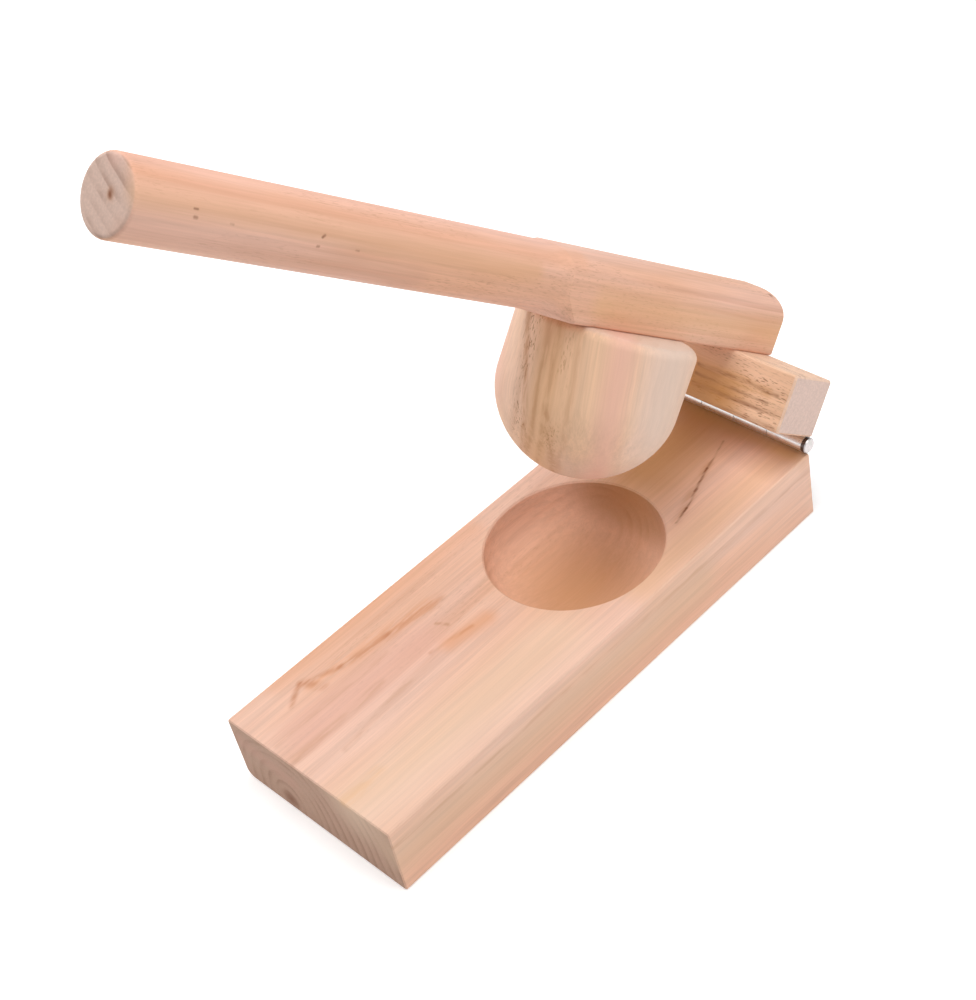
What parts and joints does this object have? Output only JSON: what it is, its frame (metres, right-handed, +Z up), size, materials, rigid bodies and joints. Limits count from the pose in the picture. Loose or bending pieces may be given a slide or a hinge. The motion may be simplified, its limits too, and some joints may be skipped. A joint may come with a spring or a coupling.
{
  "type": "dough press",
  "caption": "Hinged wooden press: a lever with a round handle swings a domed punch into a bowl-shaped hollow in a flat board.",
  "frame": {"origin": "centre of the base board's underside, on the surface it stands on", "axes": "+Z up, +Y along the board towards the hinge (the handle points towards -Y), +X across the board"},
  "size_m": [0.114, 0.3387, 0.3596],
  "materials": {
    "board_wood": "bare pale pinkish hardwood, planed",
    "lever_wood": "bare pale pinkish hardwood, planed and sanded",
    "punch_wood": "bare pale hardwood with brown streaks, turned and sanded",
    "dowel_wood": "plain beech dowel",
    "hinge_steel": "nickel plated rolled plate",
    "pin_steel": "nickel plated turned steel",
    "screw_steel": "zinc plated"
  },
  "bodies": {
    "base": {"base_board": "board_wood", "hinge_leaf_base": "hinge_steel", "base_screws": "screw_steel", "hinge_pin": "pin_steel", "hinge_button": "pin_steel"},
    "arm": {"lever": "lever_wood", "cross_block": "lever_wood", "punch": "punch_wood", "punch_dowel": "dowel_wood", "hinge_leaf_block": "hinge_steel", "block_screws": "screw_steel", "lever_screws": "screw_steel"}
  },
  "joints": [
    {"name": "arm_hinge", "type": "hinge", "parent": "base", "child": "arm", "pos_m": [0, 0.1508, 0.04455], "axis": [-1, 0, 0], "range_deg": [-37.6, 95]}
  ]
}
